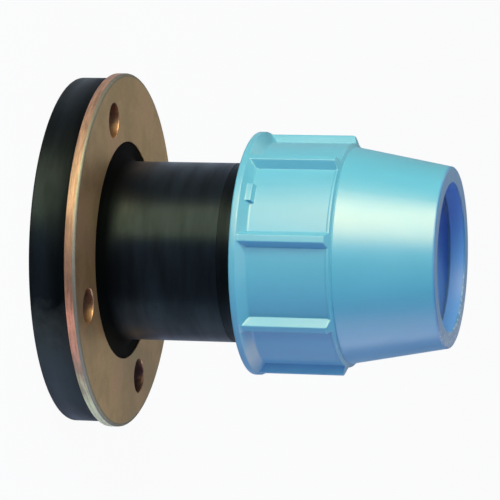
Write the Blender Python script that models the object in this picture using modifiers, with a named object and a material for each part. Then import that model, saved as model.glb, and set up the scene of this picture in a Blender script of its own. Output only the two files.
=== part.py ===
"""Flange adaptor: joins a plain pipe end to a drilled flange.

A black body carries a drilled flange at one end and a threaded socket at the other. A loose steel
ring backs the flange. The clamp nut screws on over the socket and drives a split grip ring, a packing
bush and a seal ring onto the pipe. Metres, +Z along the pipe, Z = 0 on the flange's sealing face.
"""

import math

import bmesh
import bpy
from mathutils import Matrix, Vector

# Pipe and its socket
PIPE_DIAMETER = 0.075
PIPE_CLEARANCE = 0.0007
PIPE_STOP_WIDTH = 0.004
SOCKET_WALL = 0.0084
SOCKET_DEPTH = 0.061
FIT_GAP = 0.0003

# Flange, its bolt holes and the steel ring behind it
FLANGE_THICKNESS = 0.019
FLANGE_EDGE = 0.0006
BOLT_COUNT = 4
BOLT_HOLE_DIAMETER = 0.018
FIRST_BOLT_ANGLE = math.radians(45)
RING_THICKNESS = 0.0057
RING_EDGE = 0.0015
RING_HOLE_EDGE = 0.0007
RING_LAND_INSIDE = 0.0069
RING_LAND_OUTSIDE = 0.011
RING_OVERHANG = 0.0025

# Hub that centres the ring, and the neck between hub and nut
HUB_STANDOUT = 0.0027
HUB_RECESS = 0.0004
HUB_EDGE = 0.0006
HUB_FILLET = 0.0045
NECK_LENGTH = 0.071
NECK_LINE_FROM_NUT = 0.0104
NECK_LINE_STEP = 0.0002
SHOULDER_SLOPE = 0.5

# Coarse right-hand thread between body and nut
THREAD_PITCH = 0.008
THREAD_TURNS = 3.75
THREAD_HEIGHT = 0.0028
THREAD_CLEARANCE = 0.0004
THREAD_RUN_IN = 0.008
THREAD_RUN_OUT = 0.009
NUT_EXTRA_TURNS = 0.25
BORE_PAST_THREAD = 0.0016
RIDGE_BASE_SHARE = 0.49
RIDGE_CREST_SHARE = 0.19
RIDGE_SUNK = 0.0008
CHAMBER_WALL = 0.0065
SPIGOT_CHAMFER = 0.0025

# Seal ring, packing bush and grip ring
SEAL_SECTION_DIAMETER = 0.0058
BUSH_NOSE_LENGTH = 0.0049
BUSH_FLANGE_THICKNESS = 0.0066
BUSH_CLEARANCE = 0.001
GRIP_LENGTH = 0.030
GRIP_TOOTH_COUNT = 5
GRIP_TOOTH_DEPTH = 0.0012
GRIP_TOOTH_SHARE = 0.8
GRIP_SLOT_WIDTH = 0.006
GRIP_SLOT_ANGLE = math.radians(200)

# Clamp nut
NUT_WALL = 0.0035
NUT_LEAD_IN = 0.0015
SEAT_CLEARANCE = 0.0005
SEAT_SHOULDER = 0.004
SEAT_SPARE = 0.0078
SEAT_LIP = 0.0039
MOUTH_CLEARANCE = 0.0001
MOUTH_LAND = 0.010
MOUTH_EDGE = 0.0008
RIM_EDGE = 0.0012
RIM_WIDTH = 0.0082
COLLAR_HEIGHT = 0.0055
COLLAR_WIDTH = 0.0035
COLLAR_SLOPE_WIDTH = 0.0045
COLLAR_EDGE = 0.0009
PANEL_PAST_SEAT = 0.0038
PANEL_STEP = 0.0017
GROOVE_DEPTH = 0.0003
GROOVE_WIDTH = 0.0007
RIB_COUNT = 8
RIB_HEIGHT = 0.0047
RIB_CREST_WIDTH = 0.0033
RIB_FLANK_ANGLE = math.radians(27)
RIB_END_SLOPE = 0.0023
RIB_SUNK = 0.0015
RIB_SETBACK = 0.0016
NUT_PHASE = math.radians(14.7)
PAD_WIDTH = 0.0095
PAD_LENGTH = 0.0065
PAD_HEIGHT = 0.0014
PAD_ANGLE_PAST_RIB = math.radians(-24)

# Facets of round shapes
ROUND_STEPS = 56
SMALL_ROUND_STEPS = 40
HOLE_STEPS = 24
FILLET_STEPS = 4
SEAL_SECTION_STEPS = 8
SHARP_ANGLE = math.radians(32)
CUT_MARGIN = 0.002

# Radii that follow from the pipe outwards
SOCKET_RADIUS = PIPE_DIAMETER / 2 + PIPE_CLEARANCE
WATERWAY_RADIUS = PIPE_DIAMETER / 2 - PIPE_STOP_WIDTH
NECK_RADIUS = SOCKET_RADIUS + SOCKET_WALL
CHAMBER_RADIUS = SOCKET_RADIUS + SEAL_SECTION_DIAMETER + FIT_GAP
CORE_RADIUS = CHAMBER_RADIUS + CHAMBER_WALL
CREST_RADIUS = CORE_RADIUS + THREAD_HEIGHT
HUB_RADIUS = CREST_RADIUS + HUB_STANDOUT
RING_HOLE_RADIUS = HUB_RADIUS + FIT_GAP
BOLT_HOLE_RADIUS = BOLT_HOLE_DIAMETER / 2
BOLT_CIRCLE_RADIUS = RING_HOLE_RADIUS + RING_LAND_INSIDE + BOLT_HOLE_RADIUS
RING_RADIUS = BOLT_CIRCLE_RADIUS + BOLT_HOLE_RADIUS + RING_LAND_OUTSIDE
FLANGE_RADIUS = RING_RADIUS - RING_OVERHANG
NUT_BORE_RADIUS = CREST_RADIUS + THREAD_CLEARANCE
PANEL_RADIUS = NUT_BORE_RADIUS + NUT_WALL
COLLAR_RADIUS = PANEL_RADIUS + COLLAR_HEIGHT
RIB_RADIUS = PANEL_RADIUS + RIB_HEIGHT
CONE_RADIUS = PANEL_RADIUS - PANEL_STEP
SEAT_START_RADIUS = CORE_RADIUS + SEAT_CLEARANCE
MOUTH_RADIUS = SOCKET_RADIUS + MOUTH_CLEARANCE
SEAT_END_RADIUS = MOUTH_RADIUS + SEAT_LIP
RIM_RADIUS = MOUTH_RADIUS + RIM_WIDTH

# Heights that follow from the sealing face upwards
RING_BOTTOM = FLANGE_THICKNESS + FIT_GAP
RING_TOP = RING_BOTTOM + RING_THICKNESS
HUB_TOP = RING_TOP - HUB_RECESS
NUT_REAR = RING_TOP + NECK_LENGTH
NECK_LINE = NUT_REAR - NECK_LINE_FROM_NUT
THREAD_START = NUT_REAR + THREAD_RUN_IN
THREAD_END = THREAD_START + THREAD_PITCH * THREAD_TURNS
RIDGE_HALF_BASE = THREAD_PITCH * RIDGE_BASE_SHARE / 2
RIDGE_HALF_CREST = THREAD_PITCH * RIDGE_CREST_SHARE / 2
BODY_END = THREAD_END + THREAD_RUN_OUT
PIPE_STOP = BODY_END - SOCKET_DEPTH
BUSH_REAR = BODY_END + FIT_GAP
BUSH_NOSE = BUSH_REAR - BUSH_NOSE_LENGTH
SEAL_CENTRE = BUSH_NOSE - FIT_GAP - SEAL_SECTION_DIAMETER / 2
CHAMBER_FLOOR = SEAL_CENTRE - SEAL_SECTION_DIAMETER / 2 - FIT_GAP
BUSH_FRONT = BUSH_REAR + BUSH_FLANGE_THICKNESS
GRIP_REAR = BUSH_FRONT + FIT_GAP
GRIP_FRONT = GRIP_REAR + GRIP_LENGTH
BORE_END = THREAD_END + RIDGE_HALF_BASE + BORE_PAST_THREAD
SEAT_START = BORE_END + SEAT_SHOULDER
SEAT_END = GRIP_FRONT + SEAT_SPARE
NUT_FRONT = SEAT_END + MOUTH_LAND
COLLAR_TOP = NUT_REAR + COLLAR_WIDTH
PANEL_START = COLLAR_TOP + COLLAR_SLOPE_WIDTH
PANEL_END = SEAT_START + PANEL_PAST_SEAT
CONE_START = PANEL_END + PANEL_STEP + GROOVE_WIDTH


def seat_radius(height):
    """Radius of the cone inside the nut that closes the grip ring."""
    share = (height - SEAT_START) / (SEAT_END - SEAT_START)
    return SEAT_START_RADIUS + (SEAT_END_RADIUS - SEAT_START_RADIUS) * share


def cone_radius(height):
    """Radius of the nut's outer cone."""
    share = (height - CONE_START) / (NUT_FRONT - CONE_START)
    return CONE_RADIUS + (RIM_RADIUS - CONE_RADIUS) * share


def linear(hex_colour):
    """An sRGB hex colour as linear values."""
    shares = [int(hex_colour[i : i + 2], 16) / 255 for i in (0, 2, 4)]
    return [s / 12.92 if s <= 0.04045 else ((s + 0.055) / 1.055) ** 2.4 for s in shares]


def make_material(name, hex_colour, roughness, metallic=0.0):
    material = bpy.data.materials.new(name)
    material.use_nodes = True
    shader = material.node_tree.nodes["Principled BSDF"]
    shader.inputs["Base Color"].default_value = (*linear(hex_colour), 1)
    shader.inputs["Roughness"].default_value = roughness
    shader.inputs["Metallic"].default_value = metallic
    material.diffuse_color = (*linear(hex_colour), 1)
    return material


def new_collection(name):
    collection = bpy.data.collections.new(name)
    bpy.context.scene.collection.children.link(collection)
    return collection


def new_object(name, bm, collection):
    """A mesh object from a bmesh, which is freed."""
    mesh = bpy.data.meshes.new(name)
    bm.to_mesh(mesh)
    bm.free()
    obj = bpy.data.objects.new(name, mesh)
    collection.objects.link(obj)
    return obj


def turned(name, outline, collection, steps=ROUND_STEPS):
    """A ring turned from a closed outline of (radius, height) points, outer side first, top to bottom."""
    bm = bmesh.new()
    corners = [bm.verts.new((radius, 0, height)) for radius, height in outline]
    for start, end in zip(corners, corners[1:] + corners[:1]):
        bm.edges.new((start, end))
    obj = new_object(name, bm, collection)
    screw = obj.modifiers.new("turn", "SCREW")
    screw.steps = steps
    screw.render_steps = steps
    screw.use_smooth_shade = True
    return obj


def arc(centre_radius, centre_height, radius, start, end, steps):
    """Points of an arc in the turning plane, from angle start to angle end."""
    angles = [start + (end - start) * i / steps for i in range(steps + 1)]
    return [
        (centre_radius + radius * math.cos(a), centre_height + radius * math.sin(a))
        for a in angles
    ]


def thread_ridge(name, start, turns, root_radius, tip_radius, sunk_radius, collection):
    """One helical ridge: a trapezoid, sunk into its wall, swept along a right-hand helix."""
    slope = (RIDGE_HALF_BASE - RIDGE_HALF_CREST) / (root_radius - tip_radius)
    half_sunk = RIDGE_HALF_CREST + slope * (sunk_radius - tip_radius)
    bm = bmesh.new()
    outline = [
        (sunk_radius, start - half_sunk),
        (tip_radius, start - RIDGE_HALF_CREST),
        (tip_radius, start + RIDGE_HALF_CREST),
        (sunk_radius, start + half_sunk),
    ]
    bm.faces.new([bm.verts.new((radius, 0, height)) for radius, height in outline])
    steps = round(turns * ROUND_STEPS)
    bmesh.ops.spin(
        bm,
        geom=bm.verts[:] + bm.edges[:] + bm.faces[:],
        cent=(0, 0, 0),
        axis=(0, 0, 1),
        dvec=(0, 0, THREAD_PITCH / ROUND_STEPS),
        angle=steps * math.tau / ROUND_STEPS,
        steps=steps,
    )
    # Half a facet round, so that no corner of the ridge lies on a corner of the wall
    half_facet = Matrix.Rotation(math.pi / ROUND_STEPS, 3, "Z")
    bmesh.ops.rotate(bm, cent=(0, 0, 0), matrix=half_facet, verts=bm.verts)
    bmesh.ops.recalc_face_normals(bm, faces=bm.faces)
    return new_object(name, bm, collection)


def bolt_holes(name, collection):
    """Upright cylinders on the bolt circle, through flange and ring."""
    bm = bmesh.new()
    depth = RING_TOP + 2 * CUT_MARGIN
    for i in range(BOLT_COUNT):
        turn = Matrix.Rotation(FIRST_BOLT_ANGLE + math.tau * i / BOLT_COUNT, 4, "Z")
        place = Matrix.Translation((BOLT_CIRCLE_RADIUS, 0, RING_TOP / 2))
        bmesh.ops.create_cone(
            bm,
            cap_ends=True,
            segments=HOLE_STEPS,
            radius1=BOLT_HOLE_RADIUS,
            radius2=BOLT_HOLE_RADIUS,
            depth=depth,
            matrix=turn @ place,
        )
    return new_object(name, bm, collection)


def add_wedge(bm, angle, inner, outer):
    """A block whose inner and outer faces are (radius, half width, low height, high height)."""
    cube = bmesh.ops.create_cube(bm, size=2)
    turn = Matrix.Rotation(angle, 3, "Z")
    for vert in cube["verts"]:
        radius, half_width, low, high = outer if vert.co.x > 0 else inner
        height = high if vert.co.z > 0 else low
        vert.co = turn @ Vector((radius, math.copysign(half_width, vert.co.y), height))


def combine(obj, other, operation):
    """Cuts other from obj, or joins it on."""
    modifier = obj.modifiers.new(other.name, "BOOLEAN")
    modifier.operation = operation
    modifier.object = other
    modifier.solver = "EXACT"


def settle(obj, material):
    """Applies the modifiers, shades the round surfaces smooth and gives the piece its material."""
    graph = bpy.context.evaluated_depsgraph_get()
    mesh = bpy.data.meshes.new_from_object(obj.evaluated_get(graph))
    obj.modifiers.clear()
    obj.data = mesh
    mesh.name = obj.name
    mesh.shade_smooth()
    mesh.set_sharp_from_angle(angle=SHARP_ANGLE)
    mesh.materials.clear()
    mesh.materials.append(material)


def body_outline():
    """Threaded socket end, neck, hub and flange outside; seal chamber, socket and waterway inside."""
    fillet = arc(
        NECK_RADIUS + HUB_FILLET,
        HUB_TOP + HUB_FILLET,
        HUB_FILLET,
        math.pi,
        1.5 * math.pi,
        FILLET_STEPS,
    )
    shoulder = NUT_REAR + NUT_LEAD_IN
    shoulder_length = (CORE_RADIUS - NECK_RADIUS) * SHOULDER_SLOPE
    return [
        (CORE_RADIUS - SPIGOT_CHAMFER, BODY_END),
        (CORE_RADIUS, BODY_END - SPIGOT_CHAMFER),
        (CORE_RADIUS, shoulder + shoulder_length),
        (NECK_RADIUS - NECK_LINE_STEP, shoulder),
        (NECK_RADIUS - NECK_LINE_STEP, NECK_LINE),
        (NECK_RADIUS, NECK_LINE - NECK_LINE_STEP),
        *fillet,
        (HUB_RADIUS - HUB_EDGE, HUB_TOP),
        (HUB_RADIUS, HUB_TOP - HUB_EDGE),
        (HUB_RADIUS, FLANGE_THICKNESS),
        (FLANGE_RADIUS - FLANGE_EDGE, FLANGE_THICKNESS),
        (FLANGE_RADIUS, FLANGE_THICKNESS - FLANGE_EDGE),
        (FLANGE_RADIUS, FLANGE_EDGE),
        (FLANGE_RADIUS - FLANGE_EDGE, 0),
        (WATERWAY_RADIUS, 0),
        (WATERWAY_RADIUS, PIPE_STOP),
        (SOCKET_RADIUS, PIPE_STOP),
        (SOCKET_RADIUS, CHAMBER_FLOOR),
        (CHAMBER_RADIUS, CHAMBER_FLOOR),
        (CHAMBER_RADIUS, BODY_END),
    ]


def make_body(parts, helpers):
    body = turned("fitting_body", body_outline(), parts)
    ridge = thread_ridge(
        "body_thread",
        THREAD_START,
        THREAD_TURNS,
        CORE_RADIUS,
        CREST_RADIUS,
        CORE_RADIUS - RIDGE_SUNK,
        helpers,
    )
    combine(body, ridge, "UNION")
    combine(body, bolt_holes("flange_holes", helpers), "DIFFERENCE")
    settle(body, make_material("black_polypropylene", "1A1B1B", 0.42))


def make_backing_ring(parts, helpers):
    outline = [
        (RING_RADIUS - RING_EDGE, RING_TOP),
        (RING_RADIUS, RING_TOP - RING_EDGE),
        (RING_RADIUS, RING_BOTTOM),
        (RING_HOLE_RADIUS, RING_BOTTOM),
        (RING_HOLE_RADIUS, RING_TOP - RING_HOLE_EDGE),
        (RING_HOLE_RADIUS + RING_HOLE_EDGE, RING_TOP),
    ]
    ring = turned("backing_ring", outline, parts)
    combine(ring, bolt_holes("ring_holes", helpers), "DIFFERENCE")
    settle(ring, make_material("passivated_steel", "B79A72", 0.38, 1.0))


def nut_outline():
    """Collar, panel and cone outside; mouth, grip seat and threaded bore inside."""
    return [
        (RIM_RADIUS - RIM_EDGE, NUT_FRONT),
        (cone_radius(NUT_FRONT - RIM_EDGE), NUT_FRONT - RIM_EDGE),
        (CONE_RADIUS, CONE_START),
        (CONE_RADIUS - GROOVE_DEPTH, CONE_START - GROOVE_WIDTH),
        (PANEL_RADIUS, PANEL_END),
        (PANEL_RADIUS, PANEL_START),
        (COLLAR_RADIUS, COLLAR_TOP),
        (COLLAR_RADIUS, NUT_REAR + COLLAR_EDGE),
        (COLLAR_RADIUS - COLLAR_EDGE, NUT_REAR),
        (NUT_BORE_RADIUS + NUT_LEAD_IN, NUT_REAR),
        (NUT_BORE_RADIUS, NUT_REAR + NUT_LEAD_IN),
        (NUT_BORE_RADIUS, BORE_END),
        (SEAT_START_RADIUS, SEAT_START),
        (SEAT_END_RADIUS, SEAT_END),
        (MOUTH_RADIUS, SEAT_END + SEAT_LIP / 2),
        (MOUTH_RADIUS, NUT_FRONT - MOUTH_EDGE),
        (MOUTH_RADIUS + MOUTH_EDGE, NUT_FRONT),
    ]


def nut_ribs(name, collection):
    """Grip ribs from the collar to the end of the panel, with sloping flanks and ends."""
    bm = bmesh.new()
    half_crest = RIB_CREST_WIDTH / 2
    half_base = half_crest + (RIB_HEIGHT + RIB_SUNK) * math.tan(RIB_FLANK_ANGLE)
    crest_end = PANEL_END - RIB_SETBACK
    base_end = crest_end + RIB_END_SLOPE * (RIB_HEIGHT + RIB_SUNK) / RIB_HEIGHT
    rear = NUT_REAR + COLLAR_WIDTH / 2
    inner = (PANEL_RADIUS - RIB_SUNK, half_base, rear, base_end)
    outer = (RIB_RADIUS, half_crest, rear, crest_end)
    for i in range(RIB_COUNT):
        add_wedge(bm, NUT_PHASE + math.tau * i / RIB_COUNT, inner, outer)
    return new_object(name, bm, collection)


def nut_pad(name, collection):
    """A small bare pad that stands on the collar's slope, between two ribs."""
    bm = bmesh.new()
    half_width = PAD_WIDTH / 2
    low = COLLAR_TOP - RIB_SUNK / 2
    high = COLLAR_TOP + PAD_LENGTH
    inner = (PANEL_RADIUS - RIB_SUNK, half_width, low, high)
    outer = (PANEL_RADIUS + COLLAR_HEIGHT / 2, half_width, low, high - PAD_HEIGHT)
    add_wedge(bm, NUT_PHASE + math.pi * 1.5 + PAD_ANGLE_PAST_RIB, inner, outer)
    return new_object(name, bm, collection)


def make_nut(parts, helpers):
    nut = turned("clamp_nut", nut_outline(), parts)
    ridge = thread_ridge(
        "nut_thread",
        THREAD_START - THREAD_PITCH / 2,
        THREAD_TURNS + NUT_EXTRA_TURNS,
        NUT_BORE_RADIUS,
        CORE_RADIUS + THREAD_CLEARANCE,
        NUT_BORE_RADIUS + RIDGE_SUNK,
        helpers,
    )
    combine(nut, nut_ribs("ribs", helpers), "UNION")
    combine(nut, nut_pad("pad", helpers), "UNION")
    combine(nut, ridge, "UNION")
    settle(nut, make_material("blue_polypropylene", "6CB4D0", 0.34))


def grip_outline():
    """A cone outside that follows the nut's seat, and saw teeth inside that bite the pipe."""
    tooth_length = GRIP_LENGTH / (GRIP_TOOTH_COUNT + 1)
    teeth = [(SOCKET_RADIUS, GRIP_REAR)]
    for i in range(GRIP_TOOTH_COUNT):
        start = GRIP_REAR + tooth_length * (i + 0.5)
        teeth.append((SOCKET_RADIUS, start))
        teeth.append((SOCKET_RADIUS + GRIP_TOOTH_DEPTH, start + FIT_GAP))
        teeth.append((SOCKET_RADIUS, start + tooth_length * GRIP_TOOTH_SHARE))
    return [
        (seat_radius(GRIP_FRONT) - FIT_GAP, GRIP_FRONT),
        (seat_radius(GRIP_REAR) - FIT_GAP, GRIP_REAR),
        *teeth,
        (SOCKET_RADIUS, GRIP_FRONT),
    ]


def make_grip_ring(parts, helpers):
    ring = turned("grip_ring", grip_outline(), parts, SMALL_ROUND_STEPS)
    bm = bmesh.new()
    low = GRIP_REAR - CUT_MARGIN
    high = GRIP_FRONT + CUT_MARGIN
    inner = (SOCKET_RADIUS / 2, GRIP_SLOT_WIDTH / 2, low, high)
    outer = (SEAT_START_RADIUS + CUT_MARGIN, GRIP_SLOT_WIDTH / 2, low, high)
    add_wedge(bm, GRIP_SLOT_ANGLE, inner, outer)
    combine(ring, new_object("slot", bm, helpers), "DIFFERENCE")
    settle(ring, make_material("white_acetal", "E9E6DC", 0.35))


def make_packing_bush(parts):
    flange_radius = seat_radius(BUSH_FRONT) - BUSH_CLEARANCE
    nose_radius = CHAMBER_RADIUS - FIT_GAP
    outline = [
        (flange_radius, BUSH_FRONT),
        (flange_radius, BUSH_REAR),
        (nose_radius, BUSH_REAR),
        (nose_radius, BUSH_NOSE),
        (SOCKET_RADIUS, BUSH_NOSE),
        (SOCKET_RADIUS, BUSH_FRONT),
    ]
    bush = turned("packing_bush", outline, parts, SMALL_ROUND_STEPS)
    settle(bush, make_material("black_bush_polypropylene", "222324", 0.45))


def make_seal_ring(parts):
    section = SEAL_SECTION_DIAMETER / 2
    full_turn = arc(SOCKET_RADIUS + section, SEAL_CENTRE, section, 0, -math.tau, SEAL_SECTION_STEPS)
    seal = turned("seal_ring", full_turn[:-1], parts, SMALL_ROUND_STEPS)
    settle(seal, make_material("nitrile_rubber", "151515", 0.6))


def main():
    for obj in list(bpy.data.objects):
        bpy.data.objects.remove(obj)
    parts = new_collection("flange_adaptor")
    helpers = new_collection("cutters")
    make_body(parts, helpers)
    make_backing_ring(parts, helpers)
    make_nut(parts, helpers)
    make_grip_ring(parts, helpers)
    make_packing_bush(parts)
    make_seal_ring(parts)
    for helper in helpers.objects:
        helper.hide_render = True
        helper.display_type = "WIRE"


main()
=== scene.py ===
"""Looks of a flange adaptor: black threaded body, loose steel backing ring, blue ribbed clamp nut.

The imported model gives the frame. Each of its pieces is replaced by a finely turned or moulded mesh of the
same size, with a procedural material of its own. Metres, +Z along the pipe, the flange's face on the floor.
"""

import math

import bmesh
import bpy
import numpy as np
from bpy.props import FloatProperty, FloatVectorProperty, IntProperty, PointerProperty
from mathutils import Matrix, Vector


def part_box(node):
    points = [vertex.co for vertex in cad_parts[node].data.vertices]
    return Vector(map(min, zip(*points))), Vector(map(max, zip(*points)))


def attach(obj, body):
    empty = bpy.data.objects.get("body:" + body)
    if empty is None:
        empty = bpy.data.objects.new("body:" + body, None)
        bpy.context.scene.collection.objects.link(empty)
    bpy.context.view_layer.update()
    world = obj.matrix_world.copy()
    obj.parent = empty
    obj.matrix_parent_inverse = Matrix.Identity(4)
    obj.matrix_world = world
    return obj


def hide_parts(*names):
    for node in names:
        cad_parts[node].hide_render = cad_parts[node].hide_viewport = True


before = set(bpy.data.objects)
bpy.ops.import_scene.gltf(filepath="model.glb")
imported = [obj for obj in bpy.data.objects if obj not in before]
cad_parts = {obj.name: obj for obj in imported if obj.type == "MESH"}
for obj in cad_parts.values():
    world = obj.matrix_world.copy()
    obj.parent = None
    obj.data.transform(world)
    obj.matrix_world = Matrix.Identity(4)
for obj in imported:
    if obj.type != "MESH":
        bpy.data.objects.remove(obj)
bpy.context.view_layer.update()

bl_info = {
    "name": "Flange adaptor looks",
    "version": (1, 0, 0),
    "blender": (4, 5, 0),
    "location": "3D View > Sidebar > Adaptor",
    "description": "Builds the finished pieces of a flange adaptor around its packed model",
    "category": "Add Mesh",
}

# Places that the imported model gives
BODY_LOW, BODY_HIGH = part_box("fitting_body")
RING_LOW, RING_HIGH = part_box("backing_ring")
NUT_LOW, NUT_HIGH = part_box("clamp_nut")
GRIP_LOW, GRIP_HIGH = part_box("grip_ring")
BUSH_LOW, BUSH_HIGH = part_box("packing_bush")
SEAL_LOW, SEAL_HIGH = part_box("seal_ring")
FIT_GAP = 0.0003

# Fineness of the meshes
TURN_STEPS = 192
ROUNDING_STEPS = 4
HOLE_STEPS = 64
THREAD_STEPS = 96
SEAL_STEPS = 32

MILLIMETRE = 0.001


def linear(hex_colour):
    """An sRGB hex colour as linear values, with full opacity."""
    shares = [int(hex_colour[i : i + 2], 16) / 255 for i in (0, 2, 4)]
    return (*(s / 12.92 if s <= 0.04045 else ((s + 0.055) / 1.055) ** 2.4 for s in shares), 1.0)


def size(name, default, description):
    """A length that a user may change."""
    return FloatProperty(
        name=name,
        description=description,
        default=default,
        min=0,
        precision=5,
        unit="LENGTH",
        subtype="DISTANCE",
    )


def angle(name, degrees, description):
    return FloatProperty(
        name=name,
        description=description,
        default=math.radians(degrees),
        unit="ROTATION",
        subtype="ANGLE",
    )


def colour(name, hex_colour, description):
    return FloatVectorProperty(
        name=name,
        description=description,
        default=linear(hex_colour),
        size=4,
        min=0,
        max=1,
        subtype="COLOR",
    )


def share(name, default, description):
    return FloatProperty(
        name=name,
        description=description,
        default=default,
        min=0,
        soft_max=1,
        subtype="FACTOR",
    )


class AdaptorSharedSizes(bpy.types.PropertyGroup):
    socket_radius: size("Socket radius", 0.0382, "Radius of the bore that the pipe slides in")
    chamber_radius: size("Chamber radius", 0.0443, "Radius of the seal's chamber")
    core_radius: size("Thread core radius", 0.0508, "Radius at the foot of the body's thread")
    crest_radius: size("Thread crest radius", 0.0536, "Radius at the top of the body's thread")
    thread_start: size("Thread start", 0.104, "Height where the body's thread starts")
    thread_pitch: size("Thread pitch", 0.008, "Rise of the thread in one turn")
    thread_turns: FloatProperty(
        name="Thread turns", description="Turns of the body's thread", default=3.75, min=1
    )
    thread_clearance: size("Thread clearance", 0.0004, "Gap between body and nut at the thread")
    ridge_base: size("Ridge base", 0.00392, "Width of the thread's ridge at its foot")
    ridge_crest: size("Ridge crest", 0.00152, "Width of the thread's ridge at its top")
    bolt_count: IntProperty(
        name="Bolt holes", description="Number of bolt holes", default=4, min=2
    )
    bolt_circle_radius: size("Bolt circle radius", 0.0725, "Radius of the circle of bolt holes")
    bolt_hole_radius: size("Bolt hole radius", 0.009, "Radius of each bolt hole")
    first_bolt: angle("First bolt hole", 45, "Angle of the first bolt hole from +X")


class AdaptorBodyLooks(bpy.types.PropertyGroup):
    waterway_radius: size("Waterway radius", 0.0335, "Radius of the bore behind the flange")
    pipe_stop: size("Pipe stop", 0.082, "Height of the step that stops the pipe")
    chamber_floor: size("Chamber floor", 0.132, "Height of the seal chamber's floor")
    hub_radius: size("Hub radius", 0.0563, "Radius of the hub that centres the steel ring")
    hub_top: size("Hub top", 0.0246, "Height of the hub's front face")
    hub_fillet: size("Hub fillet", 0.0045, "Radius of the fillet between hub and neck")
    neck_radius: size("Neck radius", 0.0466, "Radius of the neck")
    neck_line: size("Neck line", 0.0856, "Height of the fine line round the neck")
    neck_line_step: size("Neck line step", 0.0002, "How far the neck steps in at the line")
    shoulder: size("Shoulder", 0.0975, "Height where the neck widens to the threaded end")
    end_chamfer: size("End chamfer", 0.0025, "Chamfer at the end of the threaded part")
    flange_rounding: size("Flange rounding", 0.0009, "Rounding of the flange's edges")
    black: colour("Black", "040506", "Colour of the black polypropylene")
    roughness: share("Roughness", 0.32, "Roughness of the black polypropylene")
    gloss: share("Gloss", 0.38, "Specular level of the black polypropylene")
    gloss_tint: colour("Gloss tint", "D0F2FF", "Tint of the black polypropylene's gloss")
    # The lighter slate grey on one side of the flange's rim, and the side it lies on, are a painted sheen
    # standing in for light thrown up from below
    painted_sheen: colour("Dust", "373C3E", "Colour of the dust rubbed into the flange's rim")
    painted_sheen_angle: angle("Dusty side", -8, "Angle from +X round which the flange's rim is dusty")
    # The dull gloss and roughness below are painted shade: they darken the black where shade falls between
    # the pieces, round the hub, at the neck's foot, beside the nut and beside the ring
    painted_shade_gloss: share("Dull gloss", 0.03, "Specular level where the mould leaves it dull")
    painted_shade_roughness: share("Dull roughness", 0.4, "Roughness added where the mould leaves it dull")


class AdaptorRingLooks(bpy.types.PropertyGroup):
    edge_rounding: size("Edge rounding", 0.0015, "Rounding of the ring's outer front edge")
    hole_rounding: size("Hole rounding", 0.0006, "Rounding of the edges of the holes")
    # The rim's film colours drift along this direction, from the side that the key lamps light to the side
    # lit from below: real film colours in an order of painted light, with the near-white lime standing in
    # for that light
    film_and_light_angle: angle("Film angle", 21.7, "Direction from +X in which the rim's colours drift")
    tan: colour("Tan", "C8987E", "Colour of the rim at the start of the drift")
    pale: colour("Pale gold", "BC9A80", "Pale gold between the rim's other colours")
    copper: colour("Copper", "A67C64", "Copper of the rim and of the worn holes")
    rose: colour("Rose", "FFAE92", "Pink of the rim")
    painted_light_lime: colour("Lime", "FFF8C4", "Yellow-green at the end of the drift")
    bright: colour("Bright edge", "888880", "Colour of the rubbed front edge")
    rust: colour("Rust", "B48C70", "Brown of the drilled holes")
    gold: colour("Gold", "BEA282", "Colour of the passivated zinc where it is thick")
    brown: colour("Brown", "B29678", "Colour of the passivated zinc where it is worn thin")
    green: colour("Green", "AE9E80", "Green tinge of the passivated zinc")
    pink: colour("Pink", "C29E86", "Pink tinge of the passivated zinc")
    roughness: share("Roughness", 0.4, "Roughness of the passivated steel")


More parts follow.
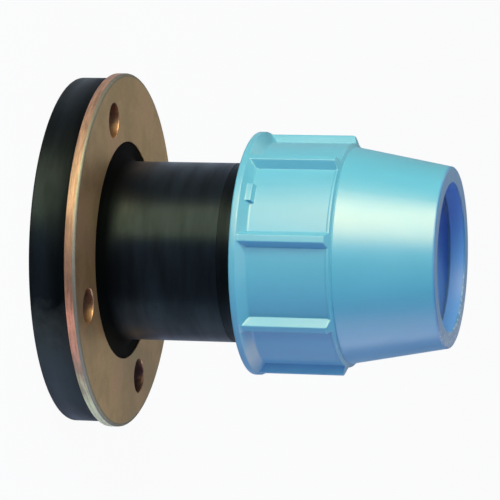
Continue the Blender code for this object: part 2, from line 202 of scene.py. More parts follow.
class AdaptorNutLooks(bpy.types.PropertyGroup):
    bore_radius: size("Bore radius", 0.054, "Radius of the bore that carries the nut's thread")
    lead_in: size("Lead-in", 0.0015, "Chamfer at the rear of the bore")
    collar_width: size("Collar width", 0.0035, "Width of the collar's rim")
    collar_slope: size("Collar slope", 0.0045, "Length of the slope from collar to panels")
    collar_rounding: size("Collar rounding", 0.0009, "Rounding of the collar's edges")
    panel_radius: size("Panel radius", 0.0575, "Radius of the panels between the ribs")
    panel_end: size("Panel end", 0.1462, "Height where the panels end")
    groove_height: size("Groove height", 0.14706, "Height of the groove before the cone")
    groove_depth: size("Groove depth", 0.0003, "Depth of that groove below the cone")
    cone_start: size("Cone start", 0.14776, "Height where the outer cone starts")
    cone_radius: size("Cone radius", 0.0558, "Radius where the outer cone starts")
    rim_width: size("Rim width", 0.0082, "Width of the mouth's flat rim")
    mouth_radius: size("Mouth radius", 0.0383, "Radius of the mouth")
    mouth_land: size("Mouth land", 0.00805, "Length of the straight bore behind the mouth")
    mouth_rounding: size("Mouth rounding", 0.0006, "Rounding of the mouth's inner edge")
    rim_rounding: size("Rim rounding", 0.0014, "Rounding between the rim and the outer cone")
    bore_end: size("Bore end", 0.13756, "Height where the threaded bore ends")
    seat_start: size("Seat start", 0.14156, "Height where the grip ring's seat starts")
    seat_end: size("Seat end", 0.188, "Height where the grip ring's seat ends")
    seat_start_radius: size("Seat start radius", 0.0513, "Radius where the seat starts")
    seat_end_radius: size("Seat end radius", 0.0422, "Radius where the seat ends")
    rib_count: IntProperty(name="Ribs", description="Number of grip ribs", default=8, min=3)
    rib_phase: angle("Rib phase", 14.7, "Angle of the first rib from +X")
    rib_height: size("Rib height", 0.0047, "Height of the ribs above the panels")
    rib_crest: size("Rib crest", 0.0033, "Width of a rib's crest")
    rib_flank: angle("Rib flank", 27, "Lean of a rib's flank from upright")
    rib_end: size("Rib end", 0.1445, "Height where a rib's crest ends")
    rib_end_slope: size("Rib end slope", 0.0018, "Length of the slope at a rib's end")
    rib_rounding: size("Rib rounding", 0.0006, "Softness of a rib's edges")
    end_rounding: size("Rib end rounding", 0.0013, "Softness of the edge where a rib's crest ends")
    foot_rounding: size("Foot rounding", 0.0003, "Softness of a rib's foot")
    lip_height: size("Lip height", 0.0003, "Height of the fine lip at the panels' front end")
    lip_width: size("Lip width", 0.0011, "Width of that lip")
    pad_angle: angle("Pad angle", 260.7, "Angle of the small pad on the collar's slope")
    pad_width: size("Pad width", 0.0095, "Width of the pad")
    pad_radius: size("Pad radius", 0.06025, "Radius of the pad's face")
    pad_end: size("Pad end", 0.1046, "Height where the pad's face ends")
    blue: colour("Blue", "53A8D2", "Colour of the light blue polypropylene")
    # The inner blue is painted light: a deeper blue on the faces that look towards the axis, standing in for
    # light that comes through the wall and bounces about inside
    inner_blue_painted_light: colour("Inner blue", "60A2FF", "Colour of the faces that look towards the axis")
    # The rim blue is painted shade: a darker blue on the mouth's flat end face
    rim_blue_painted_shade: colour("Rim blue", "3C82C8", "Colour of the mouth's flat rim")
    roughness: share("Roughness", 0.38, "Roughness of the light blue polypropylene")
    gloss: share("Gloss", 0.9, "Specular level of the light blue polypropylene")
    skin: share("Skin", 0.8, "Strength of the smooth skin's own gloss")
    skin_roughness: share("Skin roughness", 0.4, "Roughness of the smooth skin")
    scuff: colour("Scuffs", "B4CCEC", "Colour of the scuffs on the mouth's rim")
    scuff_angle: angle("Scuffed side", 40, "Angle from +X round which the mouth's rim is scuffed")
    gloss_tint: colour("Gloss tint", "FFE0BC", "Tint of the light blue polypropylene's gloss")


class AdaptorInnerLooks(bpy.types.PropertyGroup):
    tooth_count: IntProperty(name="Teeth", description="Saw teeth in the grip ring", default=5, min=1)
    tooth_depth: size("Tooth depth", 0.0012, "Depth of the grip ring's teeth")
    slot_width: size("Slot", 0.006, "Width of the grip ring's slot")
    slot_angle: angle("Slot angle", 200, "Angle of the grip ring's slot")
    bush_step: size("Bush step", 0.1433, "Height of the step under the bush's flange")
    edge_rounding: size("Edge rounding", 0.0004, "Rounding of the inner rings' edges")
    acetal: colour("Acetal", "E9E6DC", "Colour of the grip ring's natural acetal")
    bush_black: colour("Bush black", "222324", "Colour of the packing bush")
    rubber: colour("Rubber", "151515", "Colour of the seal ring's rubber")


class AdaptorStudioLooks(bpy.types.PropertyGroup):
    camera_distance: size("Camera distance", 1.701, "Distance from the pipe axis to the camera")
    camera_height: size("Camera height", 0.5207, "Height of the camera above the floor")
    camera_azimuth: angle("Camera azimuth", 21.7, "Camera's place round the pipe axis")
    camera_yaw: angle("Camera yaw", -14.16, "Turn of the camera down towards the floor")
    camera_pitch: angle("Camera pitch", -0.05, "Turn of the camera sideways")
    camera_roll: angle("Camera roll", -1.34, "Turn of the camera about its line of sight")
    focal_length: FloatProperty(
        name="Focal length", description="Focal length in millimetres", default=243.3, min=1
    )
    floor: colour("Floor", "9CB4DC", "Colour of the floor in the light that it throws back")
    floor_seen: share("Floor's own white", 0.95, "How much of its own white the floor shows the camera")
    floor_in_reflections: share(
        "White in reflections", 0.14, "How much of its own white the floor shows in reflections"
    )
    sky: colour("Surroundings", "3C3864", "Colour of the plain surroundings")


def settings(name):
    return getattr(bpy.context.scene, name)


# Meshes


def ring_mesh(name, radii, heights, angles):
    """A closed ring of quads from grids of radii and heights: rows run round the section, outer side first
    and downwards, and columns run round the axis."""
    rows, columns = radii.shape
    corners = np.stack(
        [radii * np.cos(angles), radii * np.sin(angles), np.broadcast_to(heights, radii.shape)], axis=-1
    )
    row, column = np.meshgrid(np.arange(rows), np.arange(columns), indexing="ij")
    next_row, next_column = (row + 1) % rows, (column + 1) % columns
    faces = np.stack(
        [
            row * columns + column,
            next_row * columns + column,
            next_row * columns + next_column,
            row * columns + next_column,
        ],
        axis=-1,
    )
    mesh = bpy.data.meshes.new(name)
    mesh.from_pydata(corners.reshape(-1, 3).tolist(), [], faces.reshape(-1, 4).tolist())
    return mesh


def rounded(corners):
    """The closed outline through corners of (radius, height, rounding), each rounding an arc."""
    points = []
    for i, (radius, height, rounding) in enumerate(corners):
        corner = Vector((radius, height))
        before = Vector(corners[i - 1][:2]) - corner
        after = Vector(corners[(i + 1) % len(corners)][:2]) - corner
        half = before.angle(after) / 2
        reach = min(rounding / math.tan(half), 0.49 * before.length, 0.49 * after.length)
        if rounding == 0 or reach < 1e-6:
            points.append(tuple(corner))
            continue
        centre = corner + (before.normalized() + after.normalized()).normalized() * (
            reach / math.cos(half)
        )
        start = corner + before.normalized() * reach - centre
        end = corner + after.normalized() * reach - centre
        for step in range(ROUNDING_STEPS + 1):
            arm = start.slerp(end, step / ROUNDING_STEPS)
            points.append(tuple(centre + arm.normalized() * start.length))
    return points


def turned(name, corners, steps=TURN_STEPS):
    """A piece turned from corners of (radius, height, rounding)."""
    outline = np.array(rounded(corners))
    angles = np.arange(steps) * math.tau / steps
    radii = np.repeat(outline[:, :1], steps, axis=1)
    return ring_mesh(name, radii, outline[:, 1:], angles)


def thread_mesh(name, start, turns, foot, tip, sunk):
    """One right-hand ridge: foot and tip are its radii, and it is sunk into the wall to the radius sunk.
    Both ends run out over an eighth of a turn."""
    sizes = settings("adaptor_shared")
    half_foot, half_tip = sizes.ridge_base / 2, sizes.ridge_crest / 2
    slope = (half_foot - half_tip) / (foot - tip)
    half_sunk = half_tip + slope * (sunk - tip)
    rounding = 0.12 * (foot - tip)
    steps = round(turns * THREAD_STEPS)
    turn = np.linspace(0, turns * math.tau, steps + 1)
    run_out = np.clip(np.minimum(turn, turn[-1] - turn) / (math.tau / 8), 0.02, 1)
    height = run_out * run_out * (3 - 2 * run_out)
    section = [
        (0, -half_sunk),
        (1 - abs(rounding / (tip - sunk)), -half_tip - slope * rounding),
        (1, -half_tip + abs(rounding) / 2),
        (1, half_tip - abs(rounding) / 2),
        (1 - abs(rounding / (tip - sunk)), half_tip + slope * rounding),
        (0, half_sunk),
    ]
    bm = bmesh.new()
    rings = []
    for angle_now, share_now in zip(turn, height):
        rise = start + sizes.thread_pitch * angle_now / math.tau
        ring = []
        for out, along in section:
            radius = sunk + (tip - sunk) * out * share_now
            place = (radius * math.cos(angle_now), radius * math.sin(angle_now), rise + along)
            ring.append(bm.verts.new(place))
        rings.append(ring)
    for near, far in zip(rings, rings[1:]):
        for i in range(len(section)):
            j = (i + 1) % len(section)
            bm.faces.new((near[i], near[j], far[j], far[i]))
    bm.faces.new(rings[0][::-1])
    bm.faces.new(rings[-1])
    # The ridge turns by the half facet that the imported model's has
    bmesh.ops.rotate(
        bm, cent=(0, 0, 0), matrix=Matrix.Rotation(math.pi / 56, 3, "Z"), verts=bm.verts
    )
    bmesh.ops.recalc_face_normals(bm, faces=bm.faces)
    mesh = bpy.data.meshes.new(name)
    bm.to_mesh(mesh)
    bm.free()
    return mesh


def drill_mesh(name, low, high, flare):
    """Cutters for the bolt holes of a plate, flared at both faces so that the holes' edges are broken."""
    sizes = settings("adaptor_shared")
    radius, over = sizes.bolt_hole_radius, 2 * MILLIMETRE
    profile = [(radius + flare + over, low - over)]
    for step in range(ROUNDING_STEPS + 1):
        turn = math.pi / 2 * step / ROUNDING_STEPS
        profile.append((radius + flare * (1 - math.sin(turn)), low + flare * (1 - math.cos(turn))))
    profile += [(r, low + high - z) for r, z in reversed(profile)]
    bm = bmesh.new()
    for i in range(sizes.bolt_count):
        at = sizes.first_bolt + math.tau * i / sizes.bolt_count
        centre = Vector((math.cos(at), math.sin(at), 0)) * sizes.bolt_circle_radius
        rings = []
        for r, z in profile:
            ring = []
            for step in range(HOLE_STEPS):
                turn = math.tau * step / HOLE_STEPS
                ring.append(bm.verts.new(centre + Vector((r * math.cos(turn), r * math.sin(turn), z))))
            rings.append(ring)
        for lower, upper in zip(rings, rings[1:]):
            for j in range(HOLE_STEPS):
                k = (j + 1) % HOLE_STEPS
                bm.faces.new((lower[j], lower[k], upper[k], upper[j]))
        bm.faces.new(rings[0][::-1])
        bm.faces.new(rings[-1])
    mesh = bpy.data.meshes.new(name)
    bm.to_mesh(mesh)
    bm.free()
    return mesh


def slot_mesh(name, low, high):
    """The block that cuts the grip ring's slot."""
    looks = settings("adaptor_inner")
    bm = bmesh.new()
    bmesh.ops.create_cube(bm, size=1)
    reach = GRIP_HIGH.x + MILLIMETRE
    bmesh.ops.scale(bm, vec=(reach, looks.slot_width, high - low + 4 * MILLIMETRE), verts=bm.verts)
    bmesh.ops.translate(bm, vec=(reach / 2, 0, (low + high) / 2), verts=bm.verts)
    bmesh.ops.rotate(
        bm, cent=(0, 0, 0), matrix=Matrix.Rotation(looks.slot_angle, 3, "Z"), verts=bm.verts
    )
    mesh = bpy.data.meshes.new(name)
    bm.to_mesh(mesh)
    bm.free()
    return mesh


def new_object(name, mesh):
    obj = bpy.data.objects.new(name, mesh)
    bpy.context.scene.collection.objects.link(obj)
    return obj


def combine(obj, other_mesh, operation):
    """Joins another mesh to the piece, or cuts it out, and keeps the result as the piece's mesh."""
    other = new_object(other_mesh.name, other_mesh)
    modifier = obj.modifiers.new(other.name, "BOOLEAN")
    modifier.operation = operation
    modifier.object = other
    modifier.solver = "EXACT"
    graph = bpy.context.evaluated_depsgraph_get()
    made = bpy.data.meshes.new_from_object(obj.evaluated_get(graph))
    obj.modifiers.clear()
    obj.data = made
    bpy.data.objects.remove(other)


def finish_piece(obj, material, node, body, sharp=40):
    """Shades the piece, gives it its material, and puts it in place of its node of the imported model."""
    mesh = obj.data
    mesh.name = obj.name
    mesh.materials.clear()
    mesh.materials.append(material)
    mesh.shade_smooth()
    mesh.set_sharp_from_angle(angle=math.radians(sharp))
    weighted = obj.modifiers.new("even shading", "WEIGHTED_NORMAL")
    weighted.keep_sharp = True
    weighted.weight = 50
    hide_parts(node)
    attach(obj, body)


# Materials


def new_material(name):
    material = bpy.data.materials.new(name)
    material.use_nodes = True
    tree = material.node_tree
    return material, tree, tree.nodes["Principled BSDF"]


def add_node(tree, kind, inputs=None, **options):
    """Adds a node, sets its options, and fills its inputs with values or with links from other sockets."""
    node = tree.nodes.new(kind)
    for key, value in options.items():
        setattr(node, key, value)
    for key, value in (inputs or {}).items():
        if isinstance(value, bpy.types.NodeSocket):
            tree.links.new(value, node.inputs[key])
        else:
            node.inputs[key].default_value = value
    return node


def ramp_stops(ramp, *stops):
    """Sets a colour ramp to stops of (place, colour)."""
    elements = ramp.color_ramp.elements
    while len(elements) < len(stops):
        elements.new(1)
    for element, (place, value) in zip(elements, stops):
        element.position = place
        element.color = value


def math_of(tree, operation, *parts):
    """The result of one calculation on values or sockets."""
    node = add_node(tree, "ShaderNodeMath", dict(enumerate(parts)), operation=operation)
    return node.outputs[0]


def spread(tree, value, low, high, start=0.3, end=0.7):
    """Stretches the range from start to end over low to high, and holds it there."""
    node = add_node(
        tree,
        "ShaderNodeMapRange",
        {"Value": value, "From Min": start, "From Max": end, "To Min": low, "To Max": high},
    )
    return node.outputs[0]


def blended(tree, share_of_second, first, second):
    """A colour between two others."""
    node = add_node(
        tree,
        "ShaderNodeMixRGB",
        {"Fac": share_of_second, "Color1": first, "Color2": second},
    )
    return node.outputs[0]


def shaded(tree, base, value):
    """A colour made lighter or darker."""
    return add_node(tree, "ShaderNodeHueSaturation", {"Color": base, "Value": value}).outputs[0]


def noise(tree, place, feature, detail=3, roughness=0.55, distortion=0.0):
    """Irregular noise whose features are about the given size across."""
    node = add_node(
        tree,
        "ShaderNodeTexNoise",
        {
            "Vector": place,
            "Scale": 1 / feature,
            "Detail": detail,
            "Roughness": roughness,
            "Distortion": distortion,
        },
    )
    return node.outputs["Fac"]


def drawn_noise(tree, place, across, along, detail=3, roughness=0.55):
    """Noise whose features have one size across the axis, and another along it."""
    stretched = add_node(
        tree,
        "ShaderNodeMapping",
        {"Vector": place, "Scale": (1 / across, 1 / across, 1 / along)},
    )
    return noise(tree, stretched.outputs[0], 1, detail, roughness)


def bumped(tree, height, strength, depth, before=None):
    """The normal over bumps of the given depth, on top of another bump where one is given."""
    inputs = {"Height": height, "Strength": strength, "Distance": depth}
    if before:
        inputs["Normal"] = before
    return add_node(tree, "ShaderNodeBump", inputs).outputs[0]


def flat_distance(tree, across, along, centre=0.0):
    """Distance of a place, seen along the axis, from a centre on the diagonal."""
    flat = add_node(
        tree,
        "ShaderNodeCombineXYZ",
        {
            "X": math_of(tree, "SUBTRACT", across, centre),
            "Y": math_of(tree, "SUBTRACT", along, centre),
        },
    )
    length = add_node(tree, "ShaderNodeVectorMath", {0: flat.outputs[0]}, operation="LENGTH")
    return length.outputs["Value"]


def brushed_round(tree, shader, anisotropic):
    """Draws the gloss out as marks that run round the axis do."""
    shader.inputs["Anisotropic"].default_value = anisotropic
    shader.inputs["Anisotropic Rotation"].default_value = 0.25
    tangent = add_node(tree, "ShaderNodeTangent", direction_type="RADIAL", axis="Z")
    tree.links.new(tangent.outputs[0], shader.inputs["Tangent"])


def black_polypropylene():
    """Black polypropylene, injection moulded: a satin black skin whose gloss comes and goes in blotches
    drawn round the piece, with the tool's fine turned marks and a few hair scratches from handling. The
    flange's rim beside the ring, the hub's face, the neck's foot and the strip beside the nut are duller:
    painted shade, darkening the black where shade falls between the pieces. A lighter slate grey on one
    side of the flange's rim is a painted sheen that stands in for light thrown up from below."""
    looks = settings("adaptor_body")
    material, tree, shader = new_material("moulded_black_polypropylene")
    place = add_node(tree, "ShaderNodeTexCoord").outputs["Object"]
    apart = add_node(tree, "ShaderNodeSeparateXYZ", {"Vector": place})
    height = apart.outputs["Z"]
    # Turned marks about 0.5 mm apart along the axis, and hardly changing round it
    streaks = drawn_noise(tree, place, 33 * MILLIMETRE, 0.5 * MILLIMETRE, 3, 0.6)
    # Blotches about 45 mm long round the piece and 9 mm wide
    blotches = drawn_noise(tree, place, 45 * MILLIMETRE, 9 * MILLIMETRE, 3, 0.5)
    # Hair scratches along the axis, 0.4 mm apart and some 30 mm long
    hairs = drawn_noise(tree, place, 0.4 * MILLIMETRE, 30 * MILLIMETRE, 2, 0.5)
    # Mould grain of about 0.6 mm, drawn coarser than the real one so that it shows
    grain = noise(tree, place, 0.6 * MILLIMETRE, 2, 0.5)
    # Duller places: painted shade, cutting the black's gloss where shade falls between the pieces
    out = flat_distance(tree, apart.outputs["X"], apart.outputs["Y"])
    on_hub = math_of(tree, "LESS_THAN", out, looks.hub_radius + FIT_GAP)
    foot_end = looks.hub_top + looks.hub_fillet
    foot = spread(tree, height, 0, 1, foot_end + 7 * MILLIMETRE, looks.hub_top + looks.hub_fillet / 2)
    line = looks.neck_line
    beside_nut = spread(tree, height, 0, 0.35, line - 0.3 * MILLIMETRE, line + 0.3 * MILLIMETRE)
    ring_side = spread(tree, height, 0.2, 0.65, RING_LOW.z / 3, 0.8 * RING_LOW.z)
    on_flange = math_of(tree, "LESS_THAN", height, RING_LOW.z)
    dull = math_of(tree, "MAXIMUM", math_of(tree, "MULTIPLY", on_hub, foot), beside_nut)
    dull = math_of(tree, "MAXIMUM", math_of(tree, "MULTIPLY", on_flange, ring_side), dull)
    uneven = spread(tree, blotches, 0.72 * looks.gloss, 1.28 * looks.gloss, 0.36, 0.64)
    fading = spread(tree, dull, 1, looks.painted_shade_gloss / looks.gloss, 0, 1)
    tree.links.new(math_of(tree, "MULTIPLY", uneven, fading), shader.inputs["Specular IOR Level"])
    rough = spread(tree, blotches, looks.roughness + 0.07, looks.roughness - 0.05)
    scratched = math_of(tree, "ADD", rough, spread(tree, hairs, 0, 0.09, 0.6, 0.75))
    rougher = math_of(tree, "MULTIPLY_ADD", dull, looks.painted_shade_roughness, scratched)
    tree.links.new(rougher, shader.inputs["Roughness"])
    marks = bumped(tree, streaks, 0.6, 0.06 * MILLIMETRE)
    tree.links.new(bumped(tree, grain, 0.25, 0.03 * MILLIMETRE, marks), shader.inputs["Normal"])
    # Painted sheen on one side of the flange's rim: a lighter slate grey that stands in for light thrown up
    # from below, its edge uneven over about 12 mm
    side = Vector((math.cos(looks.painted_sheen_angle), math.sin(looks.painted_sheen_angle), 0)) / BODY_HIGH.x
    towards = add_node(tree, "ShaderNodeVectorMath", {0: place, 1: side}, operation="DOT_PRODUCT")
    border = noise(tree, place, 12 * MILLIMETRE, 4, 0.6)
    near = math_of(tree, "MULTIPLY_ADD", border, 0.3, towards.outputs["Value"])
    painted_sheen = math_of(tree, "MULTIPLY", on_flange, spread(tree, near, 0, 1, 0.85, 1.05))
    base = blended(tree, painted_sheen, tuple(looks.black), tuple(looks.painted_sheen))
    tree.links.new(base, shader.inputs["Base Color"])
    shader.inputs["Specular Tint"].default_value = looks.gloss_tint
    shader.inputs["IOR"].default_value = 1.49
    brushed_round(tree, shader, 0.75)
    return material


def rim_colours(tree, place):
    """Colours that follow each other across the ring, with uneven borders of about 15 mm, and how far
    the drift has gone at each place. The film's colours are real, but their order is painted light: it
    runs from the side that the key lamps light to the side lit from below, where a near-white
    yellow-green stands in for that light."""
    looks = settings("adaptor_ring")
    drift = Vector((math.cos(looks.film_and_light_angle), math.sin(looks.film_and_light_angle), 0)) / RING_HIGH.x
    along = add_node(tree, "ShaderNodeVectorMath", {0: place, 1: drift}, operation="DOT_PRODUCT")
    border = noise(tree, place, 15 * MILLIMETRE)
    uneven = math_of(tree, "MULTIPLY_ADD", border, 0.35, along.outputs["Value"])
    gone = spread(tree, uneven, 0, 1, -0.83, 1.17)
    film = add_node(tree, "ShaderNodeValToRGB", {"Fac": gone})
    ramp_stops(
        film,
        (0.05, tuple(looks.tan)),
        (0.30, tuple(looks.pale)),
        (0.58, tuple(looks.copper)),
        (0.72, tuple(looks.rose)),
        (0.83, tuple(looks.pale)),
        (0.93, tuple(looks.painted_light_lime)),
    )
    return film.outputs[0], gone


def passivated_steel():
    """Steel plate, zinc plated and yellow passivated: a dull taupe metal with a sandy grain, whose thin
    film drifts from tan to copper, pink and yellow-green round the rough rim. That drift is partly painted
    light: it follows the lamps, and its near-white yellow-green end stands in for light from below. The
    turned front edge is rubbed bright, and the drilled holes have gone brown."""
    shared, looks = settings("adaptor_shared"), settings("adaptor_ring")
    material, tree, shader = new_material("yellow_passivated_steel")
    place = add_node(tree, "ShaderNodeTexCoord").outputs["Object"]
    apart = add_node(tree, "ShaderNodeSeparateXYZ", {"Vector": place})
    out = flat_distance(tree, apart.outputs["X"], apart.outputs["Y"])
    # Faint patches of the film over about 30 mm
    patches = add_node(tree, "ShaderNodeValToRGB", {"Fac": noise(tree, place, 30 * MILLIMETRE, 5, 0.6)})
    ramp_stops(
        patches,
        (0.32, tuple(looks.green)),
        (0.45, tuple(looks.brown)),
        (0.55, tuple(looks.gold)),
        (0.68, tuple(looks.pink)),
    )
    # Dark scale in streaks along the sheared rim, 1 mm wide and 12 mm long
    scale = drawn_noise(tree, place, 12 * MILLIMETRE, MILLIMETRE, 4, 0.65)
    rim = spread(tree, out, 0, 1, RING_HIGH.x - 0.4 * MILLIMETRE, RING_HIGH.x - 0.1 * MILLIMETRE)
    film, gone = rim_colours(tree, place)
    rim_film = shaded(tree, film, spread(tree, scale, 0.72, 1.12, 0.38, 0.58))
    # The front edge is rubbed from the rounding down
    reach = looks.edge_rounding
    near_edge = spread(tree, out, 0, 1, RING_HIGH.x - 1.25 * reach, RING_HIGH.x - reach)
    near_front = spread(tree, apart.outputs["Z"], 0, 1, RING_HIGH.z - 1.1 * reach, RING_HIGH.z - 0.9 * reach)
    edge = math_of(tree, "MULTIPLY", near_edge, near_front)
    # The four holes lie on the diagonals, so one of them stands for all
    folded = [math_of(tree, "ABSOLUTE", apart.outputs[axis]) for axis in ("X", "Y")]
    from_hole = flat_distance(tree, *folded, shared.bolt_circle_radius * math.sqrt(0.5))
    wall = shared.bolt_hole_radius
    hole = spread(tree, from_hole, 0, 1, wall + 0.6 * MILLIMETRE, wall + 0.2 * MILLIMETRE)
    worn = spread(tree, noise(tree, place, 4 * MILLIMETRE, 4, 0.6), 0, 1, 0.4, 0.6)
    base = blended(tree, rim, patches.outputs[0], rim_film)
    base = blended(tree, edge, base, tuple(looks.bright))
    base = blended(tree, hole, base, blended(tree, worn, tuple(looks.rust), tuple(looks.pale)))
    # Sandy grain of about 0.8 mm, and handling marks of about 5 mm
    grain = noise(tree, place, 0.8 * MILLIMETRE, 3, 0.6)
    marks = noise(tree, place, 5 * MILLIMETRE, 5, 0.65)
    tree.links.new(shaded(tree, base, spread(tree, grain, 0.92, 1.08)), shader.inputs["Base Color"])
    rough = spread(tree, marks, looks.roughness - 0.03, looks.roughness + 0.05)
    rough = math_of(tree, "MULTIPLY_ADD", edge, 0.12, rough)
    tree.links.new(rough, shader.inputs["Roughness"])
    torn = math_of(tree, "MULTIPLY", scale, rim)
    uneven = bumped(tree, torn, 0.5, 0.12 * MILLIMETRE)
    tree.links.new(bumped(tree, grain, 0.3, 0.04 * MILLIMETRE, uneven), shader.inputs["Normal"])
    # The dull chromate film also scatters a little light. Where the rim is yellow-green it is made less
    # metallic still, a painted highlight that keeps that patch bright as if lit from below
    powdery_painted_light = math_of(tree, "MULTIPLY", rim, spread(tree, gone, 0, 1, 0.6, 0.88))
    tree.links.new(spread(tree, powdery_painted_light, 0.85, 0.3, 0, 1), shader.inputs["Metallic"])
    return material


def blue_polypropylene():
    """Light blue polypropylene, injection moulded: a clean satin skin, a little waxy, with faint flow
    marks and a very fine orange peel. A deeper blue on the faces that look towards the axis is painted
    light, standing in for light that comes through the wall and bounces about inside. The mouth's flat
    rim is painted a darker blue, painted shade on the end face, and the cut rim is scuffed pale on one
    side."""
    looks = settings("adaptor_nut")
    material, tree, shader = new_material("moulded_blue_polypropylene")
    coordinates = add_node(tree, "ShaderNodeTexCoord")
    place = coordinates.outputs["Object"]
    # Flow marks about 18 mm wide, drawn out along the axis
    flow = drawn_noise(tree, place, 18 * MILLIMETRE, 40 * MILLIMETRE, 4, 0.6)
    tint = shaded(tree, tuple(looks.blue), spread(tree, flow, 0.97, 1.03))
    # Faces that look towards the axis, whose deeper blue is painted light for the light inside the nut
    outwards = add_node(
        tree, "ShaderNodeVectorMath", {0: place, 1: Vector((1, 1, 0))}, operation="MULTIPLY"
    )
    radial = add_node(
        tree, "ShaderNodeVectorMath", {0: outwards.outputs["Vector"]}, operation="NORMALIZE"
    )
    facing = add_node(
        tree,
        "ShaderNodeVectorMath",
        {0: radial.outputs["Vector"], 1: coordinates.outputs["Normal"]},
        operation="DOT_PRODUCT",
    )
    inner = spread(tree, facing.outputs["Value"], 0, 1, -0.3, -0.7)
    base = blended(tree, inner, tint, tuple(looks.inner_blue_painted_light))
    height = add_node(tree, "ShaderNodeSeparateXYZ", {"Vector": place}).outputs["Z"]
    # The mouth's flat rim is painted a darker blue: painted shade on the end face
    on_rim = spread(tree, height, 0, 1, NUT_HIGH.z - looks.rim_rounding, NUT_HIGH.z - FIT_GAP)
    base = blended(tree, on_rim, base, tuple(looks.rim_blue_painted_shade))
    # Pale scuffs low on the mouth's rim, in specks of about 2 mm
    low_side = add_node(
        tree,
        "ShaderNodeVectorMath",
        {
            0: radial.outputs["Vector"],
            1: Vector((math.cos(looks.scuff_angle), math.sin(looks.scuff_angle), 0)),
        },
        operation="DOT_PRODUCT",
    )
    near = spread(tree, low_side.outputs["Value"], 0, 0.8, 0.4, 0.9)
    specks = spread(tree, noise(tree, place, 2 * MILLIMETRE, 4, 0.75), 0, 1, 0.5, 0.56)
    scuffed = math_of(tree, "MULTIPLY", math_of(tree, "MULTIPLY", on_rim, near), specks)
    base = blended(tree, scuffed, base, tuple(looks.scuff))
    tree.links.new(base, shader.inputs["Base Color"])
    rough = spread(tree, flow, looks.roughness - 0.03, looks.roughness + 0.04)
    tree.links.new(rough, shader.inputs["Roughness"])
    # Orange peel of about 1.2 mm, drawn coarser than the real one so that it shows
    peel = noise(tree, place, 1.2 * MILLIMETRE, 2, 0.4)
    tree.links.new(bumped(tree, peel, 0.12, 0.03 * MILLIMETRE), shader.inputs["Normal"])
    shader.inputs["IOR"].default_value = 1.49
    shader.inputs["Specular IOR Level"].default_value = looks.gloss
    shader.inputs["Specular Tint"].default_value = looks.gloss_tint
    brushed_round(tree, shader, 0.3)
    # The smooth skin over it gives the highlight its bright middle, uneven over about 20 mm
    skin = spread(tree, inner, looks.skin, 0.2 * looks.skin, 0, 1)
    tree.links.new(skin, shader.inputs["Coat Weight"])
    waves = spread(tree, noise(tree, place, 20 * MILLIMETRE, 3, 0.6), -0.06, 0.06, 0.35, 0.65)
    uneven_skin = math_of(tree, "ADD", waves, looks.skin_roughness)
    tree.links.new(uneven_skin, shader.inputs["Coat Roughness"])
    shader.inputs["Subsurface Weight"].default_value = 0.06
    shader.inputs["Subsurface Radius"].default_value = (0.6, 1.0, 1.2)
    shader.inputs["Subsurface Scale"].default_value = MILLIMETRE
    return material


def plain_moulded(name, tint, roughness, grain_size):
    """A hidden piece: one colour, slightly uneven, with a fine grain that keeps it from looking flat."""
    material, tree, shader = new_material(name)
    place = add_node(tree, "ShaderNodeTexCoord").outputs["Object"]
    grain = noise(tree, place, grain_size, 3, 0.6)
    uneven = shaded(tree, tuple(tint), spread(tree, grain, 0.94, 1.06))
    tree.links.new(uneven, shader.inputs["Base Color"])
    tree.links.new(bumped(tree, grain, 0.2, 0.04 * MILLIMETRE), shader.inputs["Normal"])
    shader.inputs["Roughness"].default_value = roughness
    return material


# Pieces


class OBJECT_OT_adaptor_body(bpy.types.Operator):
    """Add the black body: drilled flange, hub, neck and threaded socket end"""

    bl_idname = "object.adaptor_body"
    bl_label = "Body"

    def execute(self, context):
        shared, looks = settings("adaptor_shared"), settings("adaptor_body")
        flange, thickness = BODY_HIGH.x, RING_LOW.z - FIT_GAP
        core, end = shared.core_radius, BODY_HIGH.z
        neck = looks.neck_radius
        inner = neck - looks.neck_line_step
        shoulder_top = looks.shoulder + (core - neck) / 2
        corners = [
            (core - looks.end_chamfer, end, 0.0004),
            (core, end - looks.end_chamfer, 0.0006),
            (core, shoulder_top, 0.001),
            (inner, looks.shoulder, 0.001),
            (inner, looks.neck_line, 0),
            (neck, looks.neck_line - looks.neck_line_step, 0),
            (neck, looks.hub_top, looks.hub_fillet),
            (looks.hub_radius, looks.hub_top, 0.0006),
            (looks.hub_radius, thickness, 0),
            (flange, thickness, looks.flange_rounding),
            (flange, BODY_LOW.z, looks.flange_rounding),
            (looks.waterway_radius, BODY_LOW.z, 0.0008),
            (looks.waterway_radius, looks.pipe_stop, 0.0006),
            (shared.socket_radius, looks.pipe_stop, 0),
            (shared.socket_radius, looks.chamber_floor, 0.0004),
            (shared.chamber_radius, looks.chamber_floor, 0),
            (shared.chamber_radius, end, 0.0006),
        ]
        body = new_object("threaded_body", turned("threaded_body", corners))
        sunk = core - 0.8 * MILLIMETRE
        ridge = thread_mesh(
            "body_ridge", shared.thread_start, shared.thread_turns, core, shared.crest_radius, sunk
        )
        combine(body, ridge, "UNION")
        holes = drill_mesh("flange_drills", BODY_LOW.z, thickness, 0.6 * MILLIMETRE)
        combine(body, holes, "DIFFERENCE")
        finish_piece(body, black_polypropylene(), "fitting_body", "body")
        return {"FINISHED"}


